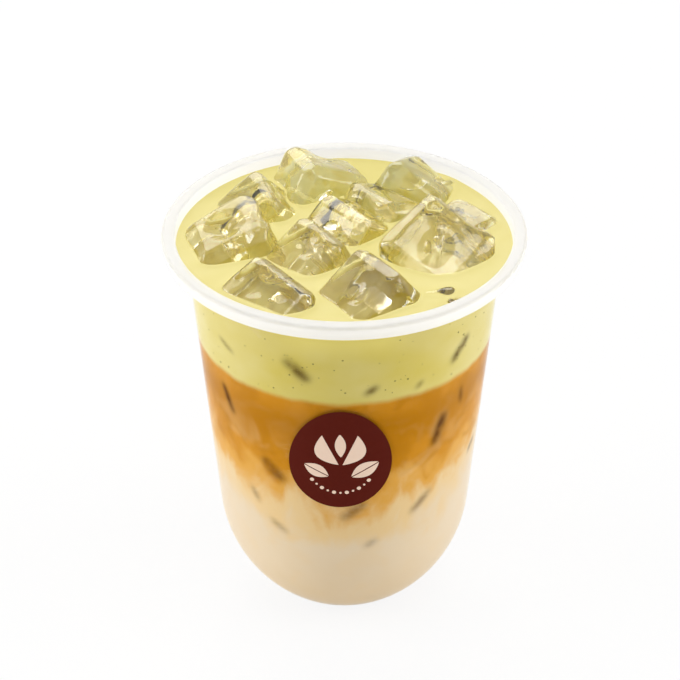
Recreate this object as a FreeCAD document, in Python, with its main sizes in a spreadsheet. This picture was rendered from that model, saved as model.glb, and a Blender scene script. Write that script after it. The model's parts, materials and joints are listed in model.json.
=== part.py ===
# Iced pistachio latte in a clear one-piece cup: the moulded cup, a round paper label on its front,
# three layers of drink one above the other, and the ice standing in the top layer.
# Lengths are in millimetres. Z is up, the foot of the cup rests on z = 0, the cup's axis is the
# Z axis and the label faces -Y.
import FreeCAD
import Part
import Sketcher
import os

os.makedirs("parts", exist_ok=True)

doc = FreeCAD.newDocument("iced_latte")
sheet = doc.addObject("Spreadsheet::Sheet", "Dims")
sheet.Label = "dims"

# The heap of ice is laid out for this mouth radius and this block edge, and grows with both.
REFERENCE_MOUTH = 43.9
REFERENCE_EDGE = 20.0
# Below this difference, in millimetres or cubic millimetres, two places or bodies count as one.
TOLERANCE = 1e-6

# Sizes that drive the model.
SIZES = [
    ("cup_height", 110.5),        # foot to rim
    ("rim_radius", 47.5),         # outside edge of the flange
    ("flange_width", 3.6),        # width of the flat flange round the mouth
    ("shoulder_step", 2.3),       # how far the wall line lies inside the mouth at the rim plane
    ("collar_depth", 5.0),        # straight collar under the flange
    ("collar_draft", 0.2),        # how far the collar draws in towards its foot
    ("shoulder_depth", 8.0),      # rim to the foot of the stacking shoulder
    ("shoulder_rise", 0.35),      # how far its inner bends lie above its outer ones
    ("wall_slope", 0.0966),       # gain of radius per millimetre of height
    ("wall_thickness", 0.8),
    ("bowl_height", 29.0),        # where the straight wall turns into the round bottom
    ("foot_radius", 15.0),
    ("foot_width", 3.5),          # width of the ring the cup stands on
    ("foot_recess", 1.6),         # hollow under the floor
    ("recess_slant", 0.7),        # slant of that hollow's side
    ("lip_drop", 4.1),            # height of the turned-down edge
    ("lip_lean", 0.9),            # how far that edge leans back in at its foot
    ("rim_round", 0.9),
    ("mouth_round", 0.6),
    ("freeboard", 3.4),           # rim to the surface of the drink
    ("pistachio_depth", 25.1),    # the drink's surface down to the espresso
    ("espresso_depth", 32.0),     # from there down to the milk
    ("ice_edge", 20.0),           # edge of the reference ice block
    ("ice_round", 2.6),           # melted rounding of the blocks
    ("ice_gap", 0.3),             # ice to cup wall
    ("ice_keel", 5.0),            # lowest place for ice, above the bend into the round bottom
    ("ice_headroom", 40.0),       # room for ice above the rim
    ("label_height", 63.7),       # height of the label's centre
    ("label_half_width", 13.3),
    ("label_half_height", 15.0),  # of the oval that is pushed through, before it meets the slanted wall
    ("label_droop", 0.64),        # fall of the label's sides for each step that the wall curves back
    ("label_thickness", 0.15),
    ("label_shift", -1.0),        # sideways place of the label's centre
    ("label_margin", 4.0),        # spare height of the band that the label is cut from
]

# Sizes that follow from the ones above.
FOLLOWING = [
    ("mouth_radius", "=rim_radius - flange_width"),
    ("wall_top_radius", "=mouth_radius - shoulder_step"),
    ("slope_length", "=sqrt(1 + wall_slope^2)"),
    ("normal_r", "=1 / slope_length"),
    ("normal_z", "=0 - wall_slope / slope_length"),
    ("bend_r", "=wall_top_radius - wall_slope * (cup_height - bowl_height)"),
    ("bend_z", "=bowl_height"),
    ("bowl_span", "=bend_r - foot_radius"),
    ("bowl_curve", "=(bowl_span^2 + bend_z^2) / (2 * (bowl_span * normal_r + bend_z * normal_z))"),
    ("bowl_mid_r", "=bend_r - bowl_curve * normal_r"),
    ("bowl_mid_z", "=bend_z - bowl_curve * normal_z"),
    ("bowl_curve_in", "=bowl_curve - wall_thickness"),
    ("bend_in_r", "=bowl_mid_r + bowl_curve_in * normal_r"),
    ("bend_in_z", "=bowl_mid_z + bowl_curve_in * normal_z"),
    ("floor_z", "=foot_recess + wall_thickness"),
    ("floor_r", "=bowl_mid_r + sqrt(bowl_curve_in^2 - (bowl_mid_z - floor_z)^2)"),
    ("axis_r", "=0"),
    ("ground_z", "=0"),
    ("recess_z", "=foot_recess"),
    ("recess_r", "=foot_radius - foot_width - recess_slant"),
    ("foot_in_r", "=foot_radius - foot_width"),
    ("foot_out_r", "=foot_radius"),
    ("step_z", "=cup_height - shoulder_depth"),
    ("step_r", "=wall_top_radius - wall_slope * shoulder_depth"),
    ("step_in_z", "=step_z + shoulder_rise"),
    ("step_in_r", "=step_r - wall_thickness * slope_length"),
    ("collar_z", "=cup_height - collar_depth"),
    ("collar_in_z", "=collar_z + shoulder_rise"),
    ("collar_r", "=mouth_radius + wall_thickness - collar_draft"),
    ("collar_in_r", "=mouth_radius - collar_draft"),
    ("under_z", "=cup_height - wall_thickness"),
    ("under_r", "=mouth_radius + wall_thickness"),
    ("lip_in_r", "=rim_radius - wall_thickness"),
    ("lip_low_z", "=cup_height - lip_drop"),
    ("lip_low_in_r", "=rim_radius - lip_lean - wall_thickness"),
    ("lip_low_r", "=rim_radius - lip_lean"),
    ("edge_r", "=rim_radius"),
    ("edge_z", "=cup_height - rim_round"),
    ("top_out_r", "=rim_radius - rim_round"),
    ("top_z", "=cup_height"),
    ("top_in_r", "=mouth_radius + mouth_round"),
    ("throat_r", "=mouth_radius"),
    ("throat_z", "=cup_height - mouth_round"),
    ("drink_level", "=cup_height - freeboard"),
    ("espresso_top", "=drink_level - pistachio_depth"),
    ("milk_top", "=espresso_top - espresso_depth"),
    ("sky_z", "=cup_height + ice_headroom"),
    ("space_low_z", "=bowl_height + ice_keel"),
    ("space_low_r", "=bend_in_r + wall_slope * (space_low_z - bend_in_z) - ice_gap"),
    ("space_step_r", "=step_in_r - ice_gap"),
    ("space_collar_r", "=collar_in_r - ice_gap"),
    ("space_top_r", "=mouth_radius - ice_gap"),
    ("heap_scale", "=mouth_radius / %s" % REFERENCE_MOUTH),
    ("block_unit", "=ice_edge * heap_scale / %s" % REFERENCE_EDGE),
    ("label_z", "=label_height"),
    ("band_low_z", "=label_z - label_half_height - label_margin"),
    ("band_high_z", "=label_z + label_half_height + label_margin"),
    ("band_low_r", "=bend_r + wall_slope * (band_low_z - bend_z)"),
    ("band_high_r", "=bend_r + wall_slope * (band_high_z - bend_z)"),
    ("band_low_out_r", "=band_low_r + label_thickness * slope_length"),
    ("band_high_out_r", "=band_high_r + label_thickness * slope_length"),
    ("label_wall_r", "=(band_low_r + band_high_r) / 2"),
    ("oval_z", "=label_z - label_droop * label_wall_r"),
    ("stamp_reach", "=rim_radius * sqrt(1 + label_droop^2)"),
]

row = 1
for alias, amount in SIZES:
    sheet.set("A%d" % row, str(amount))
    sheet.setAlias("A%d" % row, alias)
    row += 1
for alias, formula in FOLLOWING:
    sheet.set("A%d" % row, formula)
    sheet.setAlias("A%d" % row, alias)
    row += 1
doc.recompute()


def size(alias):
    return float(getattr(sheet, alias))


def origin_plane(body, role):
    for feature in body.Origin.OriginFeatures:
        if feature.Role == role:
            return feature
    return None


def revolved(name, corners):
    """Turn a closed outline about the Z axis. Each corner is (radius alias, height alias) and may
    carry (curve alias, side) for an arc that leads to it; side 1 bulges to the right of travel."""
    body = doc.addObject("PartDesign::Body", name)
    sketch = body.newObject("Sketcher::SketchObject", name + "_outline")
    sketch.AttachmentSupport = [(origin_plane(body, "XZ_Plane"), "")]
    sketch.MapMode = "FlatFace"
    places = [FreeCAD.Vector(size(c[0]), size(c[1]), 0) for c in corners]
    count = len(corners)
    lines = []
    for k in range(count):
        start = places[k]
        end = places[(k + 1) % count]
        target = corners[(k + 1) % count]
        if len(target) > 2:
            radius = size(target[2])
            chord = end - start
            half = chord.Length / 2
            across = FreeCAD.Vector(chord.y, -chord.x, 0).normalize() * target[3]
            rise = radius - (radius ** 2 - half ** 2) ** 0.5
            middle = (start + end) * 0.5 + across * rise
            index = sketch.addGeometry(Part.Arc(start, middle, end), False)
        else:
            index = sketch.addGeometry(Part.LineSegment(start, end), False)
        lines.append(index)
    # An arc keeps its own sense of turning, so its ends are told apart by place.
    ends = []
    for k in range(count):
        start_point = sketch.getPoint(lines[k], 1)
        if (start_point - places[k]).Length < TOLERANCE:
            ends.append((1, 2))
        else:
            ends.append((2, 1))
    for k in range(count):
        after = (k + 1) % count
        sketch.addConstraint(Sketcher.Constraint("Coincident", lines[k], ends[k][1],
                                                 lines[after], ends[after][0]))
    for k in range(count):
        for kind, part, alias in (("DistanceX", "r", corners[k][0]), ("DistanceY", "z", corners[k][1])):
            place = places[k].x if part == "r" else places[k].y
            label = "%s%d" % (part, k)
            number = sketch.addConstraint(Sketcher.Constraint(kind, -1, 1, lines[k], ends[k][0], place))
            sketch.renameConstraint(number, label)
            sketch.setExpression("Constraints." + label, "dims." + alias)
        target = corners[(k + 1) % count]
        if len(target) > 2:
            label = "curve%d" % k
            number = sketch.addConstraint(Sketcher.Constraint("Radius", lines[k], size(target[2])))
            sketch.renameConstraint(number, label)
            sketch.setExpression("Constraints." + label, "dims." + target[2])
    turn = body.newObject("PartDesign::Revolution", name + "_turned")
    turn.Profile = sketch
    turn.ReferenceAxis = (sketch, ["V_Axis"])
    turn.Angle = 360.0
    sketch.Visibility = False
    return body


# The cup: a foot ring, a round bottom, a straight leaning wall, a stacking shoulder, a collar,
# and a flat flange whose edge is turned down.
cup = revolved("cup", [
    ("axis_r", "recess_z"),
    ("recess_r", "recess_z"),
    ("foot_in_r", "ground_z"),
    ("foot_out_r", "ground_z"),
    ("bend_r", "bend_z", "bowl_curve", 1),
    ("step_r", "step_z"),
    ("collar_r", "collar_z"),
    ("under_r", "under_z"),
    ("lip_in_r", "under_z"),
    ("lip_low_in_r", "lip_low_z"),
    ("lip_low_r", "lip_low_z"),
    ("edge_r", "edge_z"),
    ("top_out_r", "top_z", "rim_round", 1),
    ("top_in_r", "top_z"),
    ("throat_r", "throat_z", "mouth_round", 1),
    ("collar_in_r", "collar_in_z"),
    ("step_in_r", "step_in_z"),
    ("bend_in_r", "bend_in_z"),
    ("floor_r", "floor_z", "bowl_curve_in", -1),
    ("axis_r", "floor_z"),
])

# The room inside the cup, closed at the rim plane.
cavity = revolved("cavity", [
    ("axis_r", "floor_z"),
    ("floor_r", "floor_z"),
    ("bend_in_r", "bend_in_z", "bowl_curve_in", 1),
    ("step_in_r", "step_in_z"),
    ("collar_in_r", "collar_in_z"),
    ("throat_r", "throat_z"),
    ("axis_r", "throat_z"),
])

# The room the ice may take: a little inside the wall, open upward.
ice_room = revolved("ice_room", [
    ("axis_r", "space_low_z"),
    ("space_low_r", "space_low_z"),
    ("space_step_r", "step_in_z"),
    ("space_collar_r", "collar_in_z"),
    ("space_top_r", "top_z"),
    ("space_top_r", "sky_z"),
    ("axis_r", "sky_z"),
])

# A thin band lying on the straight wall, from which the label is cut.
label_band = revolved("label_band", [
    ("band_low_r", "band_low_z"),
    ("band_low_out_r", "band_low_z"),
    ("band_high_out_r", "band_high_z"),
    ("band_high_r", "band_high_z"),
])
doc.recompute()

# Ice blocks. Each has its place from the cup's axis and the drink's surface, its turn (yaw, pitch,
# roll in degrees) and its three edges, for the reference mouth and edge. The last word names the
# side that carries the round hollow the freezer finger leaves.
TAPER = 0.9
# Blocks whose shortest edge is under this one are rounded less.
FULL_ROUND_EDGE = 14.0
ICE = [
    ("ice_front", (7.0, -25.8, -3.5), (-55, -2, 34), (21.2, 19.8, 18.8), "none"),
    ("ice_chip_front", (28.4, -30.0, -1.2), (44, 8, 0), (5.6, 4.0, 5.6), "none"),
    ("ice_front_right", (24.4, -26.6, -5.9), (18, 4, 24), (10.0, 10.5, 12.0), "none"),
    ("ice_front_left", (-18.1, -25.4, -5.3), (-47, 7, 26), (24.6, 16.8, 16.4), "none"),
    ("ice_right", (24.0, -3.0, -3.7), (-32, 23, -63), (24.5, 22.4, 21.4), "front"),
    ("ice_middle_front", (-8.3, -7.6, -4.9), (41, -30, 90), (19.2, 18.8, 17.0), "front"),
    ("ice_left", (-28.0, -0.4, -3.3), (17, -21, 5), (22.0, 20.0, 19.2), "top"),
    ("ice_right_rear", (31.8, 10.6, -4.8), (-43, -1, 4), (16.5, 13.0, 13.0), "none"),
    ("ice_middle", (1.0, 7.6, -3.2), (-51, 4, -35), (19.8, 16.6, 15.0), "none"),
    ("ice_left_rear", (-22.8, 17.2, -4.9), (14, -40, 10), (20.5, 17.6, 18.6), "none"),
    ("ice_middle_rear", (9.3, 18.2, -4.9), (-55, -4, -20), (21.0, 15.0, 15.8), "none"),
    ("ice_chip_rear", (26.2, 29.8, -3.6), (40, 10, -10), (6.0, 6.5, 9.0), "none"),
    ("ice_rear_right", (17.2, 26.6, -4.6), (64, 16, 25), (17.5, 19.5, 20.0), "none"),
    ("ice_rear_left", (-7.4, 29.1, -3.9), (20, 25, -7), (21.5, 18.5, 20.5), "none"),
]
HOLLOW_RADIUS = 11.0
HOLLOW_DEPTH = 1.5
# The block is a wedge that tapers along its own Y axis, so that axis is stood up first.
SIDES = {"top": (0, 1, 0), "front": (0, 0, 1)}

raw_ice = []
for name, place, turn, edges, hollow in ICE:
    body = doc.addObject("PartDesign::Body", name + "_block")
    block = body.newObject("PartDesign::AdditiveWedge", name + "_wedge")
    wide, deep, tall = [edge / 2 for edge in edges]
    for prop, reach in (("Xmin", -wide), ("Xmax", wide), ("Zmin", -deep), ("Zmax", deep),
                        ("Ymin", -tall), ("Ymax", tall), ("X2min", -wide * TAPER),
                        ("X2max", wide * TAPER), ("Z2min", -deep * TAPER), ("Z2max", deep * TAPER)):
        setattr(block, prop, reach * size("block_unit"))
        block.setExpression(prop, "dims.block_unit * %.3f" % reach)
    doc.recompute()
    rounded = body.newObject("PartDesign::Fillet", name + "_rounded")
    rounded.Base = (block, ["Edge%d" % (k + 1) for k in range(len(block.Shape.Edges))])
    melt = min(1.0, min(edges) / FULL_ROUND_EDGE)
    rounded.Radius = melt * size("ice_round") * size("block_unit")
    rounded.setExpression("Radius", "dims.ice_round * dims.block_unit * %.4f" % melt)
    doc.recompute()
    if hollow != "none":
        side = SIDES[hollow]
        reach = tall if hollow == "top" else deep
        scoop = body.newObject("PartDesign::SubtractiveSphere", name + "_hollow")
        scoop.Radius = HOLLOW_RADIUS
        scoop.setExpression("Radius", "dims.block_unit * %.3f" % HOLLOW_RADIUS)
        offset = reach + HOLLOW_RADIUS - HOLLOW_DEPTH
        for axis, along in zip("xyz", side):
            scoop.setExpression("Placement.Base.%s" % axis, "dims.block_unit * %.3f" % (offset * along))
    spin = FreeCAD.Rotation(FreeCAD.Vector(0, 0, 1), turn[0])
    spin = spin.multiply(FreeCAD.Rotation(FreeCAD.Vector(0, 1, 0), turn[1]))
    spin = spin.multiply(FreeCAD.Rotation(FreeCAD.Vector(1, 0, 0), turn[2] + 90))
    body.Placement = FreeCAD.Placement(FreeCAD.Vector(0, 0, 0), spin)
    body.setExpression("Placement.Base.x", "dims.heap_scale * %.3f" % place[0])
    body.setExpression("Placement.Base.y", "dims.heap_scale * %.3f" % place[1])
    body.setExpression("Placement.Base.z", "dims.drink_level + dims.block_unit * %.3f" % place[2])
    doc.recompute()
    trimmed = doc.addObject("Part::MultiCommon", name + "_trimmed")
    trimmed.Shapes = [body, ice_room]
    raw_ice.append(trimmed)
doc.recompute()

# A block keeps its shape where it meets the blocks after it in the list, and gives way to those
# before it, so that no two pieces of ice share any room.
nodes = [cup]
for k, trimmed in enumerate(raw_ice):
    name = ICE[k][0]
    before = [other for other in raw_ice[:k] if other.Shape.common(trimmed.Shape).Volume > TOLERANCE]
    if before:
        taken = before[0]
        if len(before) > 1:
            taken = doc.addObject("Part::MultiFuse", name + "_neighbours")
            taken.Shapes = before
            doc.recompute()
        piece = doc.addObject("Part::Cut", name)
        piece.Base = trimmed
        piece.Tool = taken
    else:
        trimmed.Label = name
        piece = trimmed
    nodes.append(piece)
doc.recompute()

all_ice = doc.addObject("Part::MultiFuse", "all_ice")
all_ice.Shapes = raw_ice
doc.recompute()


# The drink: three layers cut from the room inside the cup.
def layer(name, low_alias, high_alias, iced):
    slab = doc.addObject("Part::Cylinder", name + "_slab")
    slab.setExpression("Radius", "dims.rim_radius")
    slab.setExpression("Height", "dims.%s - dims.%s" % (high_alias, low_alias))
    slab.setExpression("Placement.Base.z", "dims." + low_alias)
    doc.recompute()
    filled = doc.addObject("Part::MultiCommon", name + "_filled")
    filled.Shapes = [cavity, slab]
    doc.recompute()
    if not iced:
        filled.Label = name
        return filled
    cut = doc.addObject("Part::Cut", name)
    cut.Base = filled
    cut.Tool = all_ice
    return cut


nodes.append(layer("milk_layer", "floor_z", "milk_top", False))
nodes.append(layer("espresso_layer", "milk_top", "espresso_top", True))
nodes.append(layer("pistachio_layer", "espresso_top", "drink_level", True))
doc.recompute()

# The label: an oval pushed through the thin band's front, forwards and up, so that it looks evenly
# round to someone who looks down at the cup. The ellipse's own long axis is stood upright while the
# label is taller than it is wide.
oval = doc.addObject("Part::Ellipse", "label_oval")
oval.setExpression("MajorRadius", "max(dims.label_half_width; dims.label_half_height)")
oval.setExpression("MinorRadius", "min(dims.label_half_width; dims.label_half_height)")
upright = "dims.label_half_height > dims.label_half_width ? -90 : 0"
oval.setExpression("Placement", "placement(vector(dims.label_shift; 0; dims.oval_z); rotation(0; %s; 90))"
                   % upright)
doc.recompute()
stamp = doc.addObject("Part::Extrusion", "label_stamp")
stamp.Base = oval
stamp.DirMode = "Custom"
stamp.Dir = FreeCAD.Vector(0, -1, size("label_droop"))
stamp.setExpression("Dir.z", "dims.label_droop")
stamp.Solid = True
stamp.setExpression("LengthFwd", "dims.stamp_reach")
doc.recompute()
label = doc.addObject("Part::MultiCommon", "label")
label.Shapes = [label_band, stamp]
nodes.append(label)
doc.recompute()

for item in doc.Objects:
    if "Invalid" in item.State or "Error" in item.State:
        raise RuntimeError("%s is %s" % (item.Name, item.State))

for node in nodes:
    shape = node.Shape
    if shape.isNull() or not shape.isValid():
        raise RuntimeError("%s has no sound shape" % node.Label)
    shape.exportStep("parts/%s.step" % node.Label)
    print("%-18s solids %d  volume %9.1f  z %6.1f to %6.1f"
          % (node.Label, len(shape.Solids), shape.Volume, shape.BoundBox.ZMin, shape.BoundBox.ZMax))
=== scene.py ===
# %% [markdown]
# # An iced pistachio latte in a clear cup
# The cup, the ice, the drink and the label were built first as exact solids and packed with one
# shared frame: metres, Z up, the cup's foot on z = 0 and its axis on the Z axis. This file dresses
# them. It reads their sizes from the frame, makes finer pieces where the real thing is clear,
# melted or mixed, and gives every surface a material made from formulas.

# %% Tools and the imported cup
import json
import math
import random

import bmesh
import bpy
from mathutils import Matrix, Vector, noise
from mathutils.bvhtree import BVHTree

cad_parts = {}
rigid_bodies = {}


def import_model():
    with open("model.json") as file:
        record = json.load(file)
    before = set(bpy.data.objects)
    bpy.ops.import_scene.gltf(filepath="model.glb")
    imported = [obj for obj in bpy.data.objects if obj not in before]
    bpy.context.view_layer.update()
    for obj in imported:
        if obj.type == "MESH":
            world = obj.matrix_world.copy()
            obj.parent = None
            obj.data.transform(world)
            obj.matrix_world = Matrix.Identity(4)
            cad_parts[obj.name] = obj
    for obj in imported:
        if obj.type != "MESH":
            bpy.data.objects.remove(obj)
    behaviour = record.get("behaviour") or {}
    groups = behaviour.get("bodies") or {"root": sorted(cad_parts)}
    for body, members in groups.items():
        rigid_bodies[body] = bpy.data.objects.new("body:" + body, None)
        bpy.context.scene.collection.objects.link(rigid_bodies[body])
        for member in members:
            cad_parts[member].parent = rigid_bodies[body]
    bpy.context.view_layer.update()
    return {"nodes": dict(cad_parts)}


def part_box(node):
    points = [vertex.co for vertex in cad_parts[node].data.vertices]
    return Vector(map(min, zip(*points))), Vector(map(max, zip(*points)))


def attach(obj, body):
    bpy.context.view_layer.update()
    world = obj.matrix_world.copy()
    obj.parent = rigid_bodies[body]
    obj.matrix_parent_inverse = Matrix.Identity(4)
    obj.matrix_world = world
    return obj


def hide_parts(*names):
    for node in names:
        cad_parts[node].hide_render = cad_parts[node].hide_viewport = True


MM = 0.001
WELD = 1e-6
CUT_TOLERANCE = WELD / 10
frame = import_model()
NODES = frame["nodes"]
ICE_NAMES = sorted(name for name in NODES if name.startswith("ice_"))
print("blocks of ice:", len(ICE_NAMES))

# %% [markdown]
# ## Measuring the cup
# Every later piece has to sit on or in the wall, so the wall is measured once. A ray sent out from
# the axis meets the inner face, and a ray sent in from outside meets the outer face. A tree of the
# cup's triangles (a BVH) answers such questions fast.

# %% Wall and levels
cup_cad = bmesh.new()
cup_cad.from_mesh(NODES["cup"].data)
bmesh.ops.remove_doubles(cup_cad, verts=cup_cad.verts, dist=WELD)
cup_tree = BVHTree.FromBMesh(cup_cad)

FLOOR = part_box("milk_layer")[0].z
MILK_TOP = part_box("milk_layer")[1].z
ESPRESSO_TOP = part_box("espresso_layer")[1].z
DRINK_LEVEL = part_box("pistachio_layer")[1].z
CUP_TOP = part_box("cup")[1].z
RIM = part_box("cup")[1].x


def inner_radius(height):
    """Radius of the wall's inner face at this height."""
    hit = cup_tree.ray_cast(Vector((0, 0, height)), Vector((1, 0, 0)))[0]
    return hit.x


def outer_radius(height):
    """Radius of the wall's outer face at this height, below the rim."""
    hit = cup_tree.ray_cast(Vector((2 * RIM, 0, height)), Vector((-1, 0, 0)))[0]
    return hit.x


def around(angle, radius, height):
    """A point by its angle from the front, in degrees towards +X, its radius and its height."""
    turn = math.radians(angle)
    return Vector((radius * math.sin(turn), -radius * math.cos(turn), height))


print("drink level %.1f mm" % (DRINK_LEVEL / MM))
print("inner radius there %.2f mm" % (inner_radius(DRINK_LEVEL) / MM))

# %% [markdown]
# ## Making a piece
# A bmesh becomes an object whose place is all in its mesh. It rides on the one body of this part,
# gets its materials and, where it stands for imported solids, hides them.


# %% From bmesh to piece
HARD_EDGE = math.radians(50)


def make_piece(name, shape, finishes, stands_for=()):
    """Turn a bmesh into a smooth-shaded object, with its hard edges kept, that rides on the part."""
    for edge in shape.edges:
        edge.smooth = edge.calc_face_angle(math.pi) < HARD_EDGE
    mesh = bpy.data.meshes.new(name)
    shape.to_mesh(mesh)
    shape.free()
    for face in mesh.polygons:
        face.use_smooth = True
    for finish in finishes:
        mesh.materials.append(finish)
    piece = bpy.data.objects.new(name, mesh)
    bpy.context.scene.collection.objects.link(piece)
    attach(piece, "root")
    if stands_for:
        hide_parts(*stands_for)
    print("%-16s %7d faces" % (name, len(mesh.polygons)))
    return piece


# %% Round pieces
def wire_from_points(points):
    """A bmesh that holds one open line through these points."""
    shape = bmesh.new()
    verts = [shape.verts.new(point) for point in points]
    for start, end in zip(verts, verts[1:]):
        shape.edges.new((start, end))
    return shape


def spin_round(shape, steps):
    """Turn the bmesh's line once round the Z axis, close it at the axis and face it outwards."""
    line = shape.verts[:] + shape.edges[:]
    bmesh.ops.spin(shape, geom=line, cent=(0, 0, 0), axis=(0, 0, 1), angle=math.tau,
                   steps=steps, use_merge=True, use_duplicate=False)
    bmesh.ops.remove_doubles(shape, verts=shape.verts, dist=WELD)
    bmesh.ops.recalc_face_normals(shape, faces=shape.faces)


# %% [markdown]
# ## Building materials from nodes
# A material is a small network. `add` makes one node, sets its plain values and joins its inputs,
# so that a recipe below reads like a list of steps. Colours are written as on a screen, from 0 to
# 255, and turned into the linear values that light is reckoned in.


# %% Starting a material
def colour(red, green, blue):
    """Screen colour to linear colour with full opacity."""
    linear = []
    for part in (red, green, blue):
        share = part / 255
        linear.append(share / 12.92 if share <= 0.04045 else ((share + 0.055) / 1.055) ** 2.4)
    return (*linear, 1.0)


def start_material(name):
    """A new material with an empty network and its output node."""
    material = bpy.data.materials.new(name)
    material.use_nodes = True
    material.node_tree.nodes.clear()
    output = material.node_tree.nodes.new("ShaderNodeOutputMaterial")
    return material, material.node_tree, output


def add(tree, kind, settings=None, **inputs):
    """Add a node. Inputs are numbers, colours or the sockets of earlier nodes. Each goes by its
    name, with _ for a space, or by its number, as i0 or i1."""
    made = tree.nodes.new("ShaderNode" + kind)
    for key, value in (settings or {}).items():
        setattr(made, key, value)
    for key, value in inputs.items():
        by_number = key[0] == "i" and key[1:].isdigit()
        socket = made.inputs[int(key[1:]) if by_number else key.replace("_", " ")]
        if isinstance(value, bpy.types.NodeSocket):
            tree.links.new(value, socket)
        else:
            socket.default_value = value
    return made


# %% Sums, steps and mixes
def sum_up(tree, first, second):
    """first + second."""
    return add(tree, "Math", {"operation": "ADD"}, i0=first, i1=second).outputs[0]


def times(tree, first, second):
    """first x second."""
    return add(tree, "Math", {"operation": "MULTIPLY"}, i0=first, i1=second).outputs[0]


def larger(tree, first, second):
    """The larger of the two."""
    return add(tree, "Math", {"operation": "MAXIMUM"}, i0=first, i1=second).outputs[0]


def ease(tree, value, low, high, start=0.0, end=1.0):
    """A smooth step: start where the value is low, end where it is high."""
    return add(tree, "MapRange", {"interpolation_type": "SMOOTHSTEP"}, Value=value, From_Min=low,
               From_Max=high, To_Min=start, To_Max=end).outputs[0]


def blend_colours(tree, share, first, second, how="MIX"):
    """first where share is 0, second where it is 1."""
    mixed = add(tree, "Mix", {"data_type": "RGBA", "blend_type": how}, i0=share, i6=first, i7=second)
    return mixed.outputs[2]


def blend_shaders(tree, share, first, second):
    """first where share is 0, second where it is 1."""
    return add(tree, "MixShader", i0=share, i1=first, i2=second).outputs[0]


# %% Places, noise and rays
def place_in_mm(tree):
    """The point being shaded, in millimetres."""
    place = add(tree, "TexCoord").outputs["Object"]
    return add(tree, "VectorMath", {"operation": "SCALE"}, Vector=place, Scale=1 / MM).outputs[0]


def part_of(tree, place, axis):
    """One part of a place: X points right, Y to the back and Z up."""
    return add(tree, "SeparateXYZ", Vector=place).outputs[axis]


def clouds(tree, place, across, up, detail=2.0, twist=0.0):
    """Soft noise about 0, from -0.5 to 0.5, with lumps of this width and height in millimetres."""
    stretched = add(tree, "Mapping", Vector=place, Scale=(1 / across, 1 / across, 1 / up)).outputs[0]
    grain = add(tree, "TexNoise", Vector=stretched, Scale=1.0, Detail=detail, Roughness=0.5,
                Distortion=twist).outputs["Fac"]
    return add(tree, "Math", {"operation": "SUBTRACT"}, i0=grain, i1=0.5).outputs[0]


def uneven(tree, place, across, up, spread, middle):
    """A number that drifts about a middle value, in lumps of this width and height."""
    return sum_up(tree, times(tree, clouds(tree, place, across, up), spread), middle)


def let_light_through(tree, shader, tint):
    """Rays that only carry light to what is behind pass straight on, a little tinted."""
    path = add(tree, "LightPath").outputs
    carries_light = larger(tree, path["Is Shadow Ray"], path["Is Diffuse Ray"])
    straight = add(tree, "BsdfTransparent", Color=tint).outputs[0]
    return blend_shaders(tree, carries_light, shader, straight)


def seen_plainly(tree):
    """1 where something is seen directly, in a gloss or through something clear."""
    path = add(tree, "LightPath").outputs
    direct_or_glossy = larger(tree, path["Is Camera Ray"], path["Is Glossy Ray"])
    return larger(tree, direct_or_glossy, path["Is Transmission Ray"])


# %% [markdown]
# ## The clear plastic
# Cups like this one are moulded from clear polypropylene, which is never as clear as glass. One
# recipe for the whole cup would be simpler, but where the wall is thin and the drink lies against
# it, none of the haze shows, so the wall is plain clear plastic. The flange and its turned-down
# edge are seen through much more plastic and look milky: there, soft white is mixed in, half of it
# lit from the near side and half from behind.


# %% Plastic
WALL_BENDING = 1.055
RIM_BENDING = 1.45
PLASTIC_CLEAR = colour(253, 253, 252)
POLISH = 0.045
POLISH_DRIFT = 0.03
WALL_TINT = (0.99, 0.99, 0.99, 1.0)
RIM_TINT = (0.97, 0.97, 0.97, 1.0)
RIM_HAZE = 0.66
HAZE_DRIFT = 0.1
HAZE_NEAR = colour(247, 247, 249)
HAZE_BEHIND = colour(247, 246, 247)


def clear_part(tree, place, bending):
    """The see-through share of the plastic, with a faint unevenness in its polish."""
    rough = uneven(tree, place, across=9.0, up=14.0, spread=POLISH_DRIFT, middle=POLISH)
    clear = add(tree, "BsdfPrincipled", Base_Color=PLASTIC_CLEAR, Roughness=rough, IOR=bending)
    clear.inputs["Transmission Weight"].default_value = 1.0
    return clear.outputs[0]


def wall_plastic():
    """Plain clear plastic, for the wall and the floor of the cup."""
    material, tree, output = start_material("clear_wall_plastic")
    body = clear_part(tree, place_in_mm(tree), WALL_BENDING)
    tree.links.new(let_light_through(tree, body, WALL_TINT), output.inputs[0])
    return material


def rim_plastic():
    """Milky plastic, for the flange and its edge."""
    material, tree, output = start_material("milky_rim_plastic")
    place = place_in_mm(tree)
    near = add(tree, "BsdfDiffuse", Color=HAZE_NEAR).outputs[0]
    behind = add(tree, "BsdfTranslucent", Color=HAZE_BEHIND).outputs[0]
    white = blend_shaders(tree, 0.5, near, behind)
    haze = uneven(tree, place, across=12.0, up=2.0, spread=HAZE_DRIFT, middle=RIM_HAZE)
    body = blend_shaders(tree, haze, clear_part(tree, place, RIM_BENDING), white)
    tree.links.new(let_light_through(tree, body, RIM_TINT), output.inputs[0])
    return material


WALL_PLASTIC = wall_plastic()
RIM_PLASTIC = rim_plastic()
print("plastics:", WALL_PLASTIC.name, RIM_PLASTIC.name)

# %% [markdown]
# ## The cup
# The cup is one round moulding, so its outline alone holds its whole shape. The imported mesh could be
# shaded smooth as it is, but its facets would show where light is bent, so the cup is spun anew and
# finer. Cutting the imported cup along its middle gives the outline: first the left half goes, then
# everything off the plane y = 0. Moulded corners are never sharp, so the outline's corners are
# rounded before it is spun.

# %% Outline of the cup
CORNER = math.radians(12)
STRAIGHT = math.radians(0.5)
SOFT_CORNER = 0.5 * MM


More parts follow.
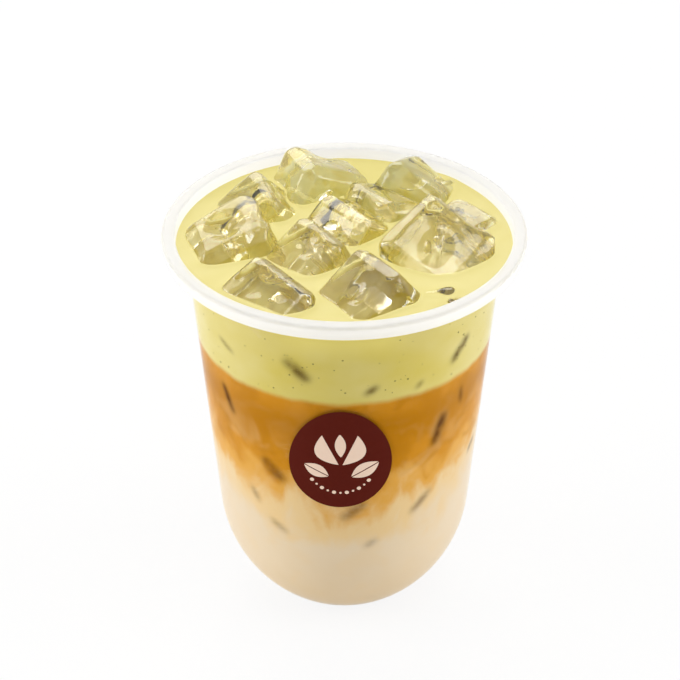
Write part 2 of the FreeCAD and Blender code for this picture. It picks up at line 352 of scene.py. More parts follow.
def cup_outline():
    """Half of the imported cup's outline, as a line in the plane y = 0."""
    line = cup_cad.copy()
    bmesh.ops.bisect_plane(line, geom=line.verts[:] + line.edges[:] + line.faces[:],
                           dist=CUT_TOLERANCE, plane_co=(0, 0, 0), plane_no=(1, 0, 0),
                           clear_inner=True)
    bmesh.ops.bisect_plane(line, geom=line.verts[:] + line.edges[:] + line.faces[:],
                           dist=CUT_TOLERANCE, plane_co=(0, 0, 0), plane_no=(0, 1, 0),
                           clear_inner=True, clear_outer=True)
    bmesh.ops.dissolve_limit(line, angle_limit=STRAIGHT, verts=line.verts, edges=line.edges)
    return line


def turn_at(vert):
    """How far the line turns at this vertex."""
    if len(vert.link_edges) != 2:
        return 0.0
    before, after = [edge.other_vert(vert).co - vert.co for edge in vert.link_edges]
    return math.pi - before.angle(after)


outline = cup_outline()
corners = [vert for vert in outline.verts if turn_at(vert) > CORNER]
bmesh.ops.bevel(outline, geom=corners, offset=SOFT_CORNER, segments=4, profile=0.5,
                affect="VERTICES", material=-1, clamp_overlap=True)
print("outline of %d points, %d corners rounded" % (len(outline.verts), len(corners)))

# %% Cup
CUP_STEPS = 360
RIM_DEPTH = 4.2 * MM

spin_round(outline, CUP_STEPS)
for face in outline.faces:
    if face.calc_center_median().z > CUP_TOP - RIM_DEPTH:
        face.material_index = 1
make_piece("clear_cup", outline, [WALL_PLASTIC, RIM_PLASTIC], ["cup"])

# %% [markdown]
# ## Wet ice
# Clear ice bends light a little less than glass does. What makes it look like ice is its wet skin:
# a film of water that throws back every lamp as a broad, slightly blurred glint. So the clear body
# gets a thin share of plain gloss on top, more blurred than the body itself. In a heap of blocks
# some rays turn from face to face until they are given up, which leaves grey spots. In a real heap
# such light ends in the drink all round. So a ray that has turned too often meets the drink's own
# pale yellow.


# %% Ice shader
ICE_BENDING = 1.34
ICE_CLEAR = colour(252, 248, 226)
ICE_BLUR = 0.015
ICE_BLUR_DRIFT = 0.02
ICE_TINT = (0.98, 0.98, 0.95, 1.0)
WET_SHARE = 0.048
WET_DRIFT = 0.07
WET_BLUR = 0.12
WET_SKIN = colour(255, 252, 246)
TURNS_BEFORE_LOST = 6.5
LOST_IN_DRINK = colour(236, 222, 150)


def clear_ice():
    """Clear ice with a wet skin."""
    material, tree, output = start_material("clear_melting_ice")
    place = place_in_mm(tree)
    rough = uneven(tree, place, across=3.0, up=3.0, spread=ICE_BLUR_DRIFT, middle=ICE_BLUR)
    ice = add(tree, "BsdfPrincipled", Base_Color=ICE_CLEAR, Roughness=rough, IOR=ICE_BENDING)
    ice.inputs["Transmission Weight"].default_value = 1.0
    skin = add(tree, "BsdfGlossy", Color=WET_SKIN, Roughness=WET_BLUR).outputs[0]
    share = uneven(tree, place, across=5.0, up=5.0, spread=WET_DRIFT, middle=WET_SHARE)
    body = blend_shaders(tree, share, ice.outputs[0], skin)
    turns = add(tree, "LightPath").outputs["Ray Depth"]
    lost = add(tree, "Math", {"operation": "GREATER_THAN"}, i0=turns, i1=TURNS_BEFORE_LOST)
    drink_colour = add(tree, "BsdfDiffuse", Color=LOST_IN_DRINK).outputs[0]
    body = blend_shaders(tree, lost.outputs[0], body, drink_colour)
    tree.links.new(let_light_through(tree, body, ICE_TINT), output.inputs[0])
    return material


ICE = clear_ice()
print("ice:", ICE.name)

# %% [markdown]
# ## Melting ice
# Ice from a machine comes as blocks with flat sides and a dent or two. In a drink the blocks melt:
# narrow flats form along the edges, and the sides turn wavy. Bump in the material would be cheaper,
# but the flats and waves matter most, because they bend all that is seen through the ice, so they
# are real shape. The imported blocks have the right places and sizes. Each one is copied, its edges
# are sliced off with planes, and it is rebuilt with small even faces (a voxel remesh), so that it
# can be smoothed, dented and pushed in and out by gentle noise.

# %% Slicing the edges of a block
SIDES = 7
SLICE = (0.016, 0.038)
LEAN = 0.12
FACING_ALIKE = 0.5


def any_way(dice, reach):
    """A vector whose three parts are drawn from -reach to reach."""
    return Vector((dice.uniform(-reach, reach), dice.uniform(-reach, reach), dice.uniform(-reach, reach)))


def packed_copy(name):
    """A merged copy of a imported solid."""
    shape = bmesh.new()
    shape.from_mesh(NODES[name].data)
    bmesh.ops.remove_doubles(shape, verts=shape.verts, dist=WELD)
    return shape


def flat_directions(shape, count):
    """The directions that the block's largest flat sides face."""
    areas = {}
    for face in shape.faces:
        direction = tuple(round(part, 2) for part in face.normal)
        areas[direction] = areas.get(direction, 0.0) + face.calc_area()
    widest = sorted(areas, key=areas.get, reverse=True)[:count]
    return [Vector(direction).normalized() for direction in widest]


def slice_off(shape, direction, depth):
    """Cut the block flat across this direction, this deep, and close the cut."""
    reach = max(vert.co.dot(direction) for vert in shape.verts)
    bmesh.ops.bisect_plane(shape, geom=shape.verts[:] + shape.edges[:] + shape.faces[:],
                           dist=CUT_TOLERANCE, plane_co=direction * (reach - depth),
                           plane_no=direction, clear_outer=True)
    bmesh.ops.holes_fill(shape, edges=[edge for edge in shape.edges if edge.is_boundary])


def slice_edges(shape, sides, dice, size):
    """Slice off the edge between each two neighbouring sides, to a depth that suits the size."""
    for k, side in enumerate(sides):
        for other in sides[k + 1:]:
            if abs(side.dot(other)) > FACING_ALIKE:
                continue
            lean = any_way(dice, LEAN)
            direction = ((side + other).normalized() + lean).normalized()
            slice_off(shape, direction, size * dice.uniform(*SLICE))


# %% Rebuilding and melting a block
ICE_GRAIN = 0.45 * MM
SMOOTHING = 3
SMOOTHING_FACTOR = 0.5
# Each wave has its width and its depth.
WAVES = [(12.0 * MM, 0.5 * MM), (3.6 * MM, 0.1 * MM)]
DENTS = 2
DENT_WIDTH = (2.4 * MM, 4.2 * MM)
DENT_DEPTH = (0.5 * MM, 1.0 * MM)
# How far a dent lies from the middle of its side, in millimetres, and how steep its edge is.
DENT_STRAY = 3
DENT_STEEPNESS = 4
BLOCK_DICE = 31
NOISE_STEP = 7.3


def rebuild_evenly(shape, grain):
    """Give a closed shape small even faces, through a voxel remesh."""
    mesh = bpy.data.meshes.new("rough_block")
    shape.to_mesh(mesh)
    shape.free()
    block = bpy.data.objects.new("rough_block", mesh)
    bpy.context.scene.collection.objects.link(block)
    remesh = block.modifiers.new("even_faces", "REMESH")
    remesh.mode = "VOXEL"
    remesh.voxel_size = grain
    even = bpy.data.meshes.new_from_object(block.evaluated_get(bpy.context.evaluated_depsgraph_get()))
    result = bmesh.new()
    result.from_mesh(even)
    bpy.data.objects.remove(block)
    bpy.data.meshes.remove(even)
    bpy.data.meshes.remove(mesh)
    return result


def middle_of(shape):
    """The mean of a shape's points."""
    return sum((vert.co for vert in shape.verts), Vector()) / len(shape.verts)


def dents_for(shape, sides, dice):
    """Shallow round dents, each with its centre on a side, its direction, width and depth."""
    middle = middle_of(shape)
    upward = sorted(sides, key=lambda side: -side.z)[:DENTS]
    dents = []
    for side in upward:
        reach = max(vert.co.dot(side) for vert in shape.verts)
        centre = middle + any_way(dice, DENT_STRAY) * MM
        centre += side * (reach - centre.dot(side))
        dents.append((centre, side, dice.uniform(*DENT_WIDTH), dice.uniform(*DENT_DEPTH)))
    return dents


def melt(shape, seed, dents, thinner):
    """Smooth a block, then push its surface along its normals in waves, and in at its dents.
    `thinner` says, for each height, how much the block loses all round."""
    for _ in range(SMOOTHING):
        bmesh.ops.smooth_vert(shape, verts=shape.verts, factor=SMOOTHING_FACTOR, use_axis_x=True,
                              use_axis_y=True, use_axis_z=True)
    shape.normal_update()
    for vert in shape.verts:
        push = -thinner(vert.co.z)
        for width, depth in WAVES:
            push += depth * noise.noise(vert.co / width + Vector((seed, 0.0, 0.0)))
        move = vert.normal * push
        for centre, side, width, depth in dents:
            off = (vert.co - centre).length / width
            move -= side * depth * math.exp(-off ** DENT_STEEPNESS)
        vert.co += move


def melted_block(number, grain, thinner):
    """The block with this number, sliced, rebuilt, melted and kept in its packed box."""
    dice = random.Random(BLOCK_DICE + number)
    shape = packed_copy(ICE_NAMES[number])
    sides = flat_directions(shape, SIDES)
    low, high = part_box(ICE_NAMES[number])
    slice_edges(shape, sides, dice, min(high - low))
    dents = dents_for(shape, sides, dice)
    shape = rebuild_evenly(shape, grain)
    melt(shape, NOISE_STEP * number, dents, thinner)
    for vert in shape.verts:
        for axis in range(3):
            vert.co[axis] = min(high[axis], max(low[axis], vert.co[axis]))
    return shape


# %% [markdown]
# ## Cracks and bubbles
# Ice that froze fast holds flat cracks and small bubbles of air, which show as bright or dark
# flakes inside it. A texture can't hang inside a clear block, so each one is a real hollow: a
# closed skin that faces inwards, pressed flat for a crack and left round for a bubble. The chips
# are too small to hold any.

# %% Hollows in the ice
CRACKS = 2
# Shares of the block's height: the radius of a crack, the way up from the middle, and the stray.
CRACK_RADIUS = (0.09, 0.15)
CRACKS_RAISED = 0.12
CRACKS_STRAY = 0.14
# The radius of a bubble, in millimetres.
BUBBLE_RADIUS = (0.6, 1.1)
# Shares of a hollow's length: its thickness and its width.
CRACK_THICKNESS = 0.05
BUBBLE_THICKNESS = 0.6
HOLLOW_WIDTH = (0.6, 1.0)
# How far a hollow leans, in radians, and how deep and how wide its dents are.
HOLLOW_LEAN = 1.5
CRUMPLE = 0.5
CRUMPLE_WIDTH = 2.2 * MM
CRACK_DICE = 77


def add_hollow(shape, centre, radius, thickness, dice):
    """A ball of air, flattened and turned, inside the ice: a closed skin that faces inwards."""
    ball = bmesh.ops.create_icosphere(shape, subdivisions=4, radius=radius)["verts"]
    for vert in ball:
        vert.co *= 1.0 + CRUMPLE * noise.noise(vert.co / CRUMPLE_WIDTH + centre / MM)
    heading = Matrix.Rotation(dice.uniform(0, math.pi), 3, "Z")
    lean = Matrix.Rotation(dice.uniform(-HOLLOW_LEAN, HOLLOW_LEAN), 3, "X")
    bmesh.ops.scale(shape, verts=ball, vec=(1.0, dice.uniform(*HOLLOW_WIDTH), thickness))
    bmesh.ops.rotate(shape, verts=ball, matrix=heading @ lean)
    bmesh.ops.translate(shape, verts=ball, vec=centre)
    skin = {face for vert in ball for face in vert.link_faces}
    bmesh.ops.reverse_faces(shape, faces=list(skin))


def add_cracks_and_bubble(shape, seed):
    """Flat cracks and one round bubble in the upper half of a block."""
    dice = random.Random(CRACK_DICE + seed)
    heights = [vert.co.z for vert in shape.verts]
    size = max(heights) - min(heights)
    middle = middle_of(shape)
    middle.z += CRACKS_RAISED * size
    thicknesses = [CRACK_THICKNESS] * CRACKS + [BUBBLE_THICKNESS]
    radii = [size * dice.uniform(*CRACK_RADIUS) for _ in range(CRACKS)]
    radii.append(dice.uniform(*BUBBLE_RADIUS) * MM)
    for thickness, radius in zip(thicknesses, radii):
        stray = any_way(dice, 1) * CRACKS_STRAY * size
        add_hollow(shape, middle + stray, radius, thickness, dice)


# %% Blocks of ice
SWELL = 0.5 * MM


def swollen(height):
    """Every block makes up for what the smoothing took."""
    return -SWELL


ice_heap = bmesh.new()
for number, name in enumerate(ICE_NAMES):
    block = melted_block(number, ICE_GRAIN, swollen)
    if "chip" not in name:
        add_cracks_and_bubble(block, number)
    piece = make_piece(name.replace("ice_", "clear_ice_"), block, [ICE], [name])
    ice_heap.from_mesh(piece.data)
ice_tree = BVHTree.FromBMesh(ice_heap)

# %% [markdown]
# ## Ice under the surface
# More ice hangs in the drink below. It shows only where an edge comes close to the wall, as a soft
# dark mark, because there the film of milk in front of it is thin. Dark strokes could be painted
# on the drink, but a mark that follows from a piece stays right from every side. So the blocks'
# edges are real pieces just behind the drink's surface, and the drink's colour is darkened where
# they are near: painted shade, for the unlit inside of the drink seen through the thin milk and
# the clear ice.

# %% Places of the sunken edges
# Each edge runs from one place on the wall to another (angle from the front in degrees, height in
# millimetres), with its depth behind the drink's surface and its width in millimetres.
SUNKEN = [
    ((-55.5, 93.0), (-45.5, 89.5), 0.45, 0.8),
    ((-22.5, 94.5), (-13.5, 88.5), 0.30, 2.6),
    ((8.0, 84.5), (12.5, 87.0), 0.45, 1.6),
    ((45.0, 87.5), (53.5, 93.5), 0.05, 2.0),
    ((28.5, 84.0), (31.0, 85.5), 0.60, 1.2),
    ((-56.5, 77.5), (-50.5, 69.0), 0.05, 1.6),
    ((39.5, 62.5), (44.0, 72.0), 0.05, 2.6),
    ((-35.5, 59.0), (-26.5, 53.5), 0.25, 3.0),
    ((-35.5, 39.0), (-25.5, 35.5), 0.55, 1.6),
    ((-1.0, 43.0), (9.0, 48.5), 0.30, 2.6),
    ((30.0, 41.5), (40.5, 47.5), 0.25, 1.8),
    ((9.0, 33.0), (15.0, 35.5), 0.60, 1.6),
    ((68.0, 50.5), (74.0, 52.5), 0.30, 1.6),
    ((-44.5, 47.5), (-40.0, 43.0), 0.55, 1.4),
    ((52.5, 78.0), (54.5, 70.5), 0.55, 1.2),
]
# The rest of the wall shows edges of the same kind, strewn at random. Their heights, lengths, depths
# and widths are in millimetres and their slants in degrees.
HIDDEN_SIDE = (85.0, 275.0)
STREWN = 16
STREWN_SPACING = (0.2, 0.8)
STREWN_HEIGHT = (34.0, 96.0)
STREWN_SLANT = (20.0, 160.0)
STREWN_LENGTH = (3.0, 9.0)
STREWN_DEPTH = (0.15, 0.6)
STREWN_WIDTH = (0.9, 2.6)
WALL_RADIUS = 38.0
STREWN_DICE = 11


def strewn_edges(count):
    """More edges for the sides and back, as long and as wide as the ones in front."""
    dice = random.Random(STREWN_DICE)
    edges = []
    for k in range(count):
        share = (k + dice.uniform(*STREWN_SPACING)) / count
        angle = HIDDEN_SIDE[0] + (HIDDEN_SIDE[1] - HIDDEN_SIDE[0]) * share
        height = dice.uniform(*STREWN_HEIGHT)
        slant = math.radians(dice.uniform(*STREWN_SLANT))
        length = dice.uniform(*STREWN_LENGTH)
        turn = math.degrees(length * math.cos(slant) / WALL_RADIUS) / 2
        rise = length * math.sin(slant) / 2
        edges.append(((angle - turn, height - rise), (angle + turn, height + rise),
                      dice.uniform(*STREWN_DEPTH), dice.uniform(*STREWN_WIDTH)))
    return edges


print("sunken edges:", len(SUNKEN) + STREWN)

# %% One sunken edge
MARK_DEPTH = 2.4
SINK_AT_ENDS = 0.45 * MM
# The blur of the mark adds to its length and width, so the bar itself is shorter and slimmer.
SHORTER = 0.72
SLIMMER = 0.45
BAR_CUTS = 9
BAR_ROUNDING = 0.12
TAPER = 0.6
THINNEST = 0.2


def straight_bar(length, width):
    """A bar along X that is set on its corner, cut into short lengths, with rounded edges."""
    bar = bmesh.new()
    bmesh.ops.create_cube(bar, size=1.0)
    bmesh.ops.rotate(bar, verts=bar.verts, matrix=Matrix.Rotation(math.radians(45), 3, "X"))
    bmesh.ops.scale(bar, verts=bar.verts, vec=(length, MARK_DEPTH * MM, SLIMMER * width * MM))
    lengthwise = [edge for edge in bar.edges
                  if abs(edge.verts[0].co.x - edge.verts[1].co.x) > length / 2]
    bmesh.ops.subdivide_edges(bar, edges=lengthwise, cuts=BAR_CUTS, use_grid_fill=True)
    bmesh.ops.bevel(bar, geom=bar.edges[:], offset=BAR_ROUNDING * width * MM, segments=2,
                    profile=0.5, affect="EDGES", material=-1, clamp_overlap=True)
    return bar


def edge_of_ice(start, end, depth, width):
    """One melted edge of a sunken block: a bar that thins and sinks at its ends, bent along the
    wall."""
    middle_height = (start[1] + end[1]) / 2 * MM
    radius = inner_radius(middle_height)
    along = Vector((math.radians(end[0] - start[0]) * radius, (end[1] - start[1]) * MM))
    length = SHORTER * along.length
    along.normalize()
    bar = straight_bar(length, width)
    front = max(vert.co.y for vert in bar.verts)
    for vert in bar.verts:
        end_share = min(1.0, abs(vert.co.x) / (length / 2))
        slim = max(THINNEST, (1 - end_share ** 2) ** TAPER)
        vert.co.z *= slim
        vert.co.y = front + (vert.co.y - front) * slim - SINK_AT_ENDS * end_share ** 2
    for vert in bar.verts:
        sideways = vert.co.x * along.x - vert.co.z * along.y
        height = middle_height + vert.co.x * along.y + vert.co.z * along.x
        behind = front - vert.co.y + depth * MM
        angle = (start[0] + end[0]) / 2 + math.degrees(sideways / radius)
        vert.co = around(angle, inner_radius(height) - behind, height)
    bmesh.ops.recalc_face_normals(bar, faces=bar.faces)
    return bar


# %% All sunken edges
BLUR = 0.35
BLUR_BY_WIDTH = 0.42

sunken = bmesh.new()
blur_of_face = []
for start, end, depth, width in SUNKEN + strewn_edges(STREWN):
    bar = edge_of_ice(start, end, depth, width)
    single = bpy.data.meshes.new("sunken_edge")
    bar.to_mesh(single)
    bar.free()
    sunken.from_mesh(single)
    blur_of_face += [(BLUR + BLUR_BY_WIDTH * width) * MM] * len(single.polygons)
    bpy.data.meshes.remove(single)
sunken_tree = BVHTree.FromBMesh(sunken)
make_piece("sunken_ice", sunken, [ICE])

# %% [markdown]
# ## Three layers of drink
# Milk is poured first, espresso sinks into it, and pistachio milk floats on top. Each layer could
# have a colour of its own, but seen through the wall the two lower ones run into each other in
# plumes. So one material colours all three by height, with the height bent by noise: broad plumes,
# finer wisps and a fine grain. Near the top the line between espresso and pistachio stays sharp, as
# the pistachio milk is lighter. Towards the sides all three are painted paler, and the milk's colours
# reach higher there: painted light, where the side lamps shine into the drink.


# %% Colours of the drink
MILK = colour(240, 219, 186)
MILK_LOW = colour(236, 213, 176)
# Painted light: the milk's colour on the sides of the cup, where the side lamps shine in.
MILK_PAINTED_LIT = colour(236, 224, 208)
LATTE = colour(242, 210, 154)
CARAMEL = colour(232, 172, 78)
AMBER = colour(214, 145, 34)
DARK_AMBER = colour(190, 124, 10)
PISTACHIO = colour(222, 204, 104)
PISTACHIO_LIGHT = colour(234, 222, 156)
# Painted light: the pistachio milk's colour in the middle, just under the rim.
PISTACHIO_PAINTED_GLOW = colour(250, 234, 134)
# Painted shade: the drink's colour is multiplied by this where sunken ice lies near the wall.
ICE_MARK_SHADE = colour(122, 106, 98)
# From the floor of the cup, 0, to the top of the espresso, 1.
MIXING = [(0.0, MILK_LOW), (0.35, MILK), (0.49, LATTE), (0.61, CARAMEL), (0.71, AMBER),
          (0.88, DARK_AMBER), (1.0, AMBER)]


def ramp(tree, value, stops):
    """Colours at given places from 0 to 1, smoothly joined."""
    strip = add(tree, "ValToRGB", Fac=value)
    elements = strip.color_ramp.elements
    while len(elements) < len(stops):
        elements.new(1.0)
    for element, (place, shade) in zip(elements, stops):
        element.position = place
        element.color = shade
    strip.color_ramp.interpolation = "EASE"
    return strip.outputs[0]


print("stops from milk to espresso:", len(MIXING))

# %% Milk and espresso
# Lengths and heights are in millimetres here, as in every recipe.
LOW = FLOOR / MM
HIGH = ESPRESSO_TOP / MM
TOP = DRINK_LEVEL / MM
PLUME_REACH = 22.0
WISP_REACH = 19.0
GRAIN_REACH = 3.0
# Painted light from the side lamps: how much higher the milk's colours reach at the sides, in
# millimetres, then how much paler the espresso and the milk are painted there.
PAINTED_SIDE_RISE = (-1.5, -13.0)
PAINTED_SIDE_LIGHT_LOWER = 0.1
PAINTED_SIDE_LIGHT_MILK = 0.6


def height_after_mixing(tree, place, height, aside):
    """The height that a point's drink came from, as a share from the floor to the espresso's top."""
    plumes = clouds(tree, place, across=20.0, up=26.0, detail=2.0, twist=0.6)
    wisps = clouds(tree, place, across=8.0, up=12.0, detail=4.0, twist=0.7)
    grain = clouds(tree, place, across=1.6, up=2.0, detail=3.0, twist=1.0)
    calm = ease(tree, height, low=HIGH - 2.0, high=HIGH - 20.0)
    bend = sum_up(tree, times(tree, plumes, PLUME_REACH), times(tree, wisps, WISP_REACH))
    # Painted light: towards the sides the milk's paler colours reach higher.
    side_rise = ease(tree, aside, 25.0, 40.0, *PAINTED_SIDE_RISE)
    mixed = sum_up(tree, height, times(tree, bend, calm))
    mixed = sum_up(tree, mixed, times(tree, grain, GRAIN_REACH))
    mixed = sum_up(tree, mixed, times(tree, side_rise, calm))
    return add(tree, "MapRange", Value=mixed, From_Min=LOW, From_Max=HIGH).outputs[0]


def milk_and_espresso(tree, place, height, aside):
    """The colour of the two lower layers: dark patches near the top, pale veils lower down, and
    paler towards the sides, where the wall curves away, as painted light from the side lamps."""
    share = height_after_mixing(tree, place, height, aside)
    lower = ramp(tree, share, MIXING)
    patches = ease(tree, clouds(tree, place, 8.0, 7.0, detail=3.0, twist=0.4), -0.04, 0.14)
    patches = times(tree, patches, ease(tree, height, HIGH - 32.0, HIGH - 18.0, 0.0, 0.6))
    lower = blend_colours(tree, patches, lower, DARK_AMBER)
    veils = ease(tree, clouds(tree, place, 10.0, 9.0, detail=3.0, twist=0.6), -0.04, 0.22)
    veils = times(tree, veils, ease(tree, height, HIGH, HIGH - 20.0, 0.03, 0.22))
    lower = blend_colours(tree, veils, lower, LATTE)
    # Painted light: the sides are paler, as the side lamps shine in.
    side_light = ease(tree, aside, 14.0, 44.0)
    lower = blend_colours(tree, times(tree, side_light, PAINTED_SIDE_LIGHT_LOWER), lower, LATTE)
    milky = ease(tree, share, 0.6, 0.4, 0.0, PAINTED_SIDE_LIGHT_MILK)
    return blend_colours(tree, times(tree, side_light, milky), lower, MILK_PAINTED_LIT)


# %% Pistachio milk and the whole drink
# How much paler the sides of the pistachio milk are painted, as light from the side lamps.
PAINTED_SIDE_LIGHT_TOP = 0.8
PISTACHIO_PALENESS = 0.2
LINE_WAVES = 1.6
DRINK_GLOSS = 0.05


def pistachio_milk(tree, place, height, aside):
    """The colour of the top layer: paler towards the sides, brighter in the middle, under the rim.
    Both are painted light.
    """
    side_light = ease(tree, aside, 14.0, 44.0)
    # Painted light: the sides are paler, as the side lamps shine in; the clouds are the milk's own uneven
    # tone.
    haze = sum_up(tree, clouds(tree, place, across=14.0, up=9.0), times(tree, side_light, PAINTED_SIDE_LIGHT_TOP))
    upper = blend_colours(tree, sum_up(tree, haze, PISTACHIO_PALENESS), PISTACHIO, PISTACHIO_LIGHT)
    # Painted light: brighter just under the rim, in the middle.
    glow = ease(tree, height, TOP - 14.0, TOP - 4.0)
    glow = times(tree, glow, ease(tree, aside, 20.0, 8.0, 0.0, 0.8))
    return blend_colours(tree, glow, upper, PISTACHIO_PAINTED_GLOW)


def film_before_ice(tree, place, height):
    """How much painted shade the ice behind puts on the drink: patchy, and less low in the milk."""
    film = add(tree, "Attribute", {"attribute_name": "ice_near"}).outputs["Fac"]
    patchy = ease(tree, clouds(tree, place, 3.0, 3.0, detail=3.0), -0.22, 0.1, 0.65, 1.0)
    film = times(tree, film, patchy)
    return times(tree, film, ease(tree, height, LOW + 25.0, HIGH - 10.0, 0.5, 1.0))


def layered_drink():
    """All three layers as they show through the wall."""
    material, tree, output = start_material("layered_latte")
    place = place_in_mm(tree)
    height = part_of(tree, place, "Z")
    aside = add(tree, "Math", {"operation": "ABSOLUTE"}, i0=part_of(tree, place, "X")).outputs[0]
    lower = milk_and_espresso(tree, place, height, aside)
    upper = pistachio_milk(tree, place, height, aside)
    waves = times(tree, clouds(tree, place, across=6.0, up=20.0, detail=3.0), LINE_WAVES)
    line = sum_up(tree, height, waves)
    base = blend_colours(tree, ease(tree, line, HIGH - 1.5, HIGH + 0.9), lower, upper)
    film = film_before_ice(tree, place, height)
    # Painted shade where sunken ice lies close behind the drink's surface.
    base = blend_colours(tree, film, base, ICE_MARK_SHADE, "MULTIPLY")
    drink = add(tree, "BsdfPrincipled", Base_Color=base, Roughness=0.55, IOR=1.33)
    drink.inputs["Specular IOR Level"].default_value = DRINK_GLOSS
    tree.links.new(drink.outputs[0], output.inputs[0])
    return material


LAYERED = layered_drink()
print("drink:", LAYERED.name)

# %% [markdown]
# ## The surface of the drink
# From above the pistachio milk is paler than through the wall, and it is wet, so it has its own
# material with a soft gloss. Where a block of ice stands in the milk, its pocket is seen through
# the ice, lit by light that the block has gathered. With the colour of the open surface the ice
# would look dull, so the pockets have a third material with painted light: a lively mix of deep
# and pale milk, painted paler towards the back, where more light comes through.


# %% Materials for the surface and for the pockets under the ice
SURFACE_DEEP = colour(224, 210, 126)
SURFACE_PALE = colour(236, 224, 156)
SURFACE_FAR = colour(212, 198, 104)
SURFACE_GLOSS = 0.12
POCKET_DEEP = colour(216, 197, 78)
POCKET_PALE = colour(248, 238, 154)
# Painted light: the pockets' colours towards the back, where more light comes through the blocks.
POCKET_FAR_DEEP = colour(248, 233, 132)
POCKET_FAR_PALE = colour(255, 252, 202)


def pistachio_surface():
    """The open surface of the drink, a little deeper in colour towards the back."""
    material, tree, output = start_material("pistachio_surface")
    place = place_in_mm(tree)
    drift = sum_up(tree, clouds(tree, place, 16.0, 16.0, detail=2.0, twist=0.6), 0.5)
    base = blend_colours(tree, drift, SURFACE_DEEP, SURFACE_PALE)
    far = ease(tree, part_of(tree, place, "Y"), 0.0, 40.0, 0.0, 0.5)
    base = blend_colours(tree, far, base, SURFACE_FAR)
    drink = add(tree, "BsdfPrincipled", Base_Color=base, Roughness=0.35, IOR=1.34)
    drink.inputs["Specular IOR Level"].default_value = SURFACE_GLOSS
    tree.links.new(drink.outputs[0], output.inputs[0])
    return material


def pistachio_under_ice():
    """The milk in the pockets that the blocks stand in, with painted light towards the back."""
    material, tree, output = start_material("pistachio_under_ice")
    place = place_in_mm(tree)
    drift = ease(tree, clouds(tree, place, 7.0, 7.0, detail=2.0, twist=0.5), -0.2, 0.2)
    near = blend_colours(tree, drift, POCKET_DEEP, POCKET_PALE)
    far = blend_colours(tree, drift, POCKET_FAR_DEEP, POCKET_FAR_PALE)
    base = blend_colours(tree, ease(tree, part_of(tree, place, "Y"), -5.0, 30.0), near, far)
    drink = add(tree, "BsdfDiffuse", Color=base)
    tree.links.new(drink.outputs[0], output.inputs[0])
    return material


SURFACE = pistachio_surface()
UNDER_ICE = pistachio_under_ice()
print("surface:", SURFACE.name, UNDER_ICE.name)

# %% [markdown]
# ## Shaping the layers
# Each layer is a round solid, spun from a line that starts on the axis below, follows the wall and
# comes back to the axis on top. The line runs a little way into the plastic, so that no film of air
# shows between drink and cup. Its points are close together, because the marks of the sunken ice
# are stored on them.

# %% Layers
DRINK_STEPS = 360
BITE = 0.15 * MM
ROW = 0.7 * MM
OFF_FLOOR = 0.05 * MM
# Rows crowd together where the bowl is round, and are even where the wall is straight.
CROWDED = 1.7
EVEN = 1.0
FLAT_RINGS = 4
MARK_REACH = 4 * MM


def layer_line(low, high, top_rings, crowding):
    """The outline of one layer, from the axis below, up the wall and back to the axis on top."""
    rows = max(2, round((high - low) / ROW))
    points = [Vector((0, 0, low))]
    for k in range(rows + 1):
        height = low + (high - low) * (k / rows) ** crowding
        points.append(Vector((inner_radius(max(height, low + OFF_FLOOR)) + BITE, 0, height)))
    for k in range(1, top_rings + 1):
        points.append(Vector((points[rows + 1].x * (1 - k / top_rings), 0, high)))
    return points


def mark_near_ice(piece):
    """Store on every point of a layer how near a sunken edge is, from 0 to 1."""
    attribute = piece.data.attributes.new("ice_near", "FLOAT", "POINT")
    for vert in piece.data.vertices:
        spot, normal, face, gap = sunken_tree.find_nearest(vert.co, MARK_REACH)
        near = 0.0 if gap is None else math.exp(-((gap - BITE) / blur_of_face[face]) ** 2)
        attribute.data[vert.index].value = near


for name, low, high, crowding in (("milk_layer", FLOOR, MILK_TOP, CROWDED),
                                  ("espresso_layer", MILK_TOP, ESPRESSO_TOP, EVEN)):
    layer = wire_from_points(layer_line(low, high, FLAT_RINGS, crowding))
    spin_round(layer, DRINK_STEPS)
    finish = name.replace("_layer", "")
    piece = make_piece(finish + "_drink", layer, [LAYERED], [name])
    mark_near_ice(piece)

# %% [markdown]
# ## The pistachio layer
# Liquid climbs a little where it touches something: that curve is the meniscus. Each point of the
# surface is raised by its distance to the nearest ice or wall. Then the ice is cut out of the
# layer. The blocks themselves would leave faces that lie in the same place as the ice's own, so
# the cut uses copies of them: a little smaller at the surface, where the drink has to touch the
# ice, and a little larger below, where a film of water lies between the two.

# %% Meniscus
CLIMB = 0.5 * MM
CLIMB_REACH = 0.9 * MM
CLIMB_AT_WALL = 0.5


def raise_meniscus(shape):
    """Lift the surface near ice and wall."""
    wall = inner_radius(DRINK_LEVEL) + BITE
    for vert in shape.verts:
        if vert.co.z < DRINK_LEVEL - WELD:
            continue
        to_wall = max(0.0, wall - math.hypot(vert.co.x, vert.co.y))
        to_ice = ice_tree.find_nearest(vert.co)[3]
        climb = math.exp(-to_ice / CLIMB_REACH) + CLIMB_AT_WALL * math.exp(-to_wall / CLIMB_REACH)
        vert.co.z += CLIMB * min(1.0, climb)


# %% Cutters
CUTTER_GRAIN = 0.9 * MM
TOUCH = 0.3 * MM
WATER_FILM = 0.45 * MM
FILM_AT_WALL = 0.5 * MM
# The water film starts this far under the surface and reaches its full thickness in this height.
FILM_STARTS = 1 * MM
FILM_GROWS = 2 * MM


def room_round_ice(height):
    """At the surface the drink reaches into the ice, and further down it leaves it a little room."""
    deep = min(1.0, max(0.0, (DRINK_LEVEL - FILM_STARTS - height) / FILM_GROWS))
    return TOUCH - SWELL - (TOUCH + WATER_FILM) * deep


